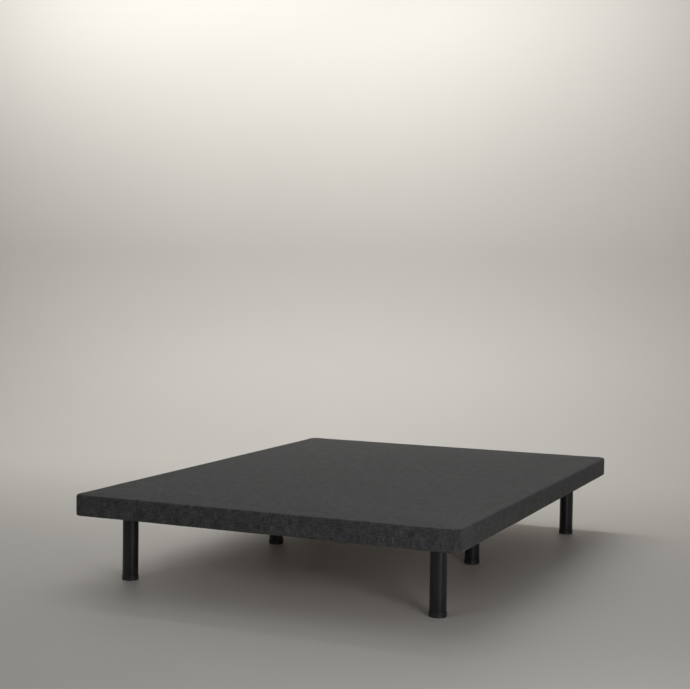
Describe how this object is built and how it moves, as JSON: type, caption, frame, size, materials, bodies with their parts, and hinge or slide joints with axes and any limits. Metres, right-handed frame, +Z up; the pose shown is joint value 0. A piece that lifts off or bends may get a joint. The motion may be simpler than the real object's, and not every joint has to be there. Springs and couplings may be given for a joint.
{
  "type": "adjustable bed base",
  "caption": "Low upholstered adjustable bed base: a thin flat deck in hinged sections on round legs, its head and knees raised by linear actuators underneath.",
  "frame": {"origin": "middle of the footprint, on the floor", "axes": "+Y to the head end, +X across the bed, +Z up"},
  "size_m": [1.372, 1.905, 0.308],
  "materials": {
    "cloth": "charcoal heathered plain weave",
    "foam": "open-cell cut foam",
    "plywood": "birch plywood, sanded",
    "frame_steel": "black powder coat",
    "leg_steel": "satin black powder coat",
    "cap_plastic": "moulded black polyethylene",
    "zinc_steel": "bright zinc plate",
    "roller_nylon": "turned black nylon",
    "bumper_rubber": "moulded rubber",
    "motor_plastic": "fine textured grey-black moulding",
    "box_plastic": "fine textured black moulding",
    "lead_rubber": "black jacketed lead"
  },
  "bodies": {
    "frame": {"side_rail_left": "frame_steel", "side_rail_right": "frame_steel", "foot_crossbar": "frame_steel", "middle_crossbar": "frame_steel", "head_crossbar": "frame_steel", "head_motor_crossbar": "frame_steel", "foot_motor_crossbar": "frame_steel", "leg_plates": "frame_steel", "leg_studs": "zinc_steel", "leg_foot_left": "leg_steel", "leg_foot_right": "leg_steel", "leg_middle_left": "leg_steel", "leg_middle_right": "leg_steel", "leg_head_left": "leg_steel", "leg_head_right": "leg_steel", "foot_caps": "cap_plastic", "frame_pivots": "frame_steel", "deck_bumpers": "bumper_rubber", "control_box_base": "box_plastic", "control_box_lid": "motor_plastic", "power_inlet": "motor_plastic", "motor_leads": "lead_rubber", "seat_board": "plywood", "seat_side_boards": "plywood", "seat_foam": "foam", "seat_cover": "cloth", "seat_hinge_leaves": "zinc_steel", "hinge_pins": "zinc_steel"},
    "head_section": {"head_board": "plywood", "head_side_boards": "plywood", "head_foam": "foam", "head_cover": "cloth", "head_hinge_leaves": "zinc_steel"},
    "head_lift": {"head_lift_tube": "frame_steel", "head_lift_arms": "frame_steel"},
    "head_roller_pair": {"head_rollers": "roller_nylon"},
    "head_actuator": {"head_motor_housing": "motor_plastic", "head_motor_can": "zinc_steel", "head_actuator_tube": "frame_steel"},
    "head_rod": {"head_actuator_rod": "zinc_steel"},
    "thigh_section": {"thigh_board": "plywood", "thigh_side_boards": "plywood", "thigh_foam": "foam", "thigh_cover": "cloth", "thigh_hinge_leaves": "zinc_steel", "thigh_knee_plates": "zinc_steel"},
    "calf_section": {"calf_board": "plywood", "calf_side_boards": "plywood", "calf_foam": "foam", "calf_cover": "cloth", "calf_knee_plates": "zinc_steel"},
    "calf_link_pair": {"calf_links": "frame_steel"},
    "foot_lift": {"foot_lift_tube": "frame_steel", "foot_lift_arms": "frame_steel"},
    "foot_roller_pair": {"foot_rollers": "roller_nylon"},
    "foot_actuator": {"foot_motor_housing": "motor_plastic", "foot_motor_can": "zinc_steel", "foot_actuator_tube": "frame_steel"},
    "foot_rod": {"foot_actuator_rod": "zinc_steel"}
  },
  "joints": [
    {"name": "head_tilt", "type": "hinge", "parent": "frame", "child": "head_section", "pos_m": [0, 0.2155, 0.293], "axis": [1, 0, 0], "range_deg": [0, 60]},
    {"name": "head_lift_turn", "type": "hinge", "parent": "frame", "child": "head_lift", "pos_m": [0, 0.1205, 0.24], "axis": [1, 0, 0], "range_deg": [0, 40.57]},
    {"name": "head_roller_spin", "type": "hinge", "parent": "head_lift", "child": "head_roller_pair", "pos_m": [0, 0.43984, 0.2606], "axis": [1, 0, 0], "continuous": true},
    {"name": "head_motor_swing", "type": "hinge", "parent": "frame", "child": "head_actuator", "pos_m": [0.07, -0.45248, 0.205], "axis": [1, 0, 0], "range_deg": [0, 1.36]},
    {"name": "head_rod_slide", "type": "slide", "parent": "head_actuator", "child": "head_rod", "axis": [0, 0.9946, -0.1034], "range_m": [0, 0.0645]},
    {"name": "thigh_tilt", "type": "hinge", "parent": "frame", "child": "thigh_section", "pos_m": [0, -0.0895, 0.293], "axis": [-1, 0, 0], "range_deg": [0, 30]},
    {"name": "calf_fold", "type": "hinge", "parent": "thigh_section", "child": "calf_section", "pos_m": [0, -0.4325, 0.247], "axis": [1, 0, 0], "range_deg": [0, 30.5]},
    {"name": "calf_link_swing", "type": "hinge", "parent": "frame", "child": "calf_link_pair", "pos_m": [0, -0.25, 0.262], "axis": [-1, 0, 0], "range_deg": [0, 30.5]},
    {"name": "foot_lift_turn", "type": "hinge", "parent": "frame", "child": "foot_lift", "pos_m": [0, -0.0295, 0.24], "axis": [-1, 0, 0], "range_deg": [0, 21.56]},
    {"name": "foot_roller_spin", "type": "hinge", "parent": "foot_lift", "child": "foot_roller_pair", "pos_m": [0, -0.26861, 0.2606], "axis": [1, 0, 0], "continuous": true},
    {"name": "foot_motor_swing", "type": "hinge", "parent": "frame", "child": "foot_actuator", "pos_m": [-0.07, 0.53043, 0.205], "axis": [-1, 0, 0], "range_deg": [0, 0.74]},
    {"name": "foot_rod_slide", "type": "slide", "parent": "foot_actuator", "child": "foot_rod", "axis": [0, -0.9942, -0.1075], "range_m": [0, 0.0348]}
  ],
  "couplings": [
    {"joint": "head_lift_turn", "follows": "head_tilt", "ratio": 0.6695},
    {"joint": "head_motor_swing", "follows": "head_tilt", "ratio": 0.021035},
    {"joint": "head_rod_slide", "follows": "head_tilt", "m_per_rad": 0.061085},
    {"joint": "calf_fold", "follows": "thigh_tilt", "ratio": 1},
    {"joint": "calf_link_swing", "follows": "thigh_tilt", "ratio": 1},
    {"joint": "foot_lift_turn", "follows": "thigh_tilt", "ratio": 0.7055},
    {"joint": "foot_motor_swing", "follows": "thigh_tilt", "ratio": 0.021167},
    {"joint": "foot_rod_slide", "follows": "thigh_tilt", "m_per_rad": 0.06554}
  ]
}
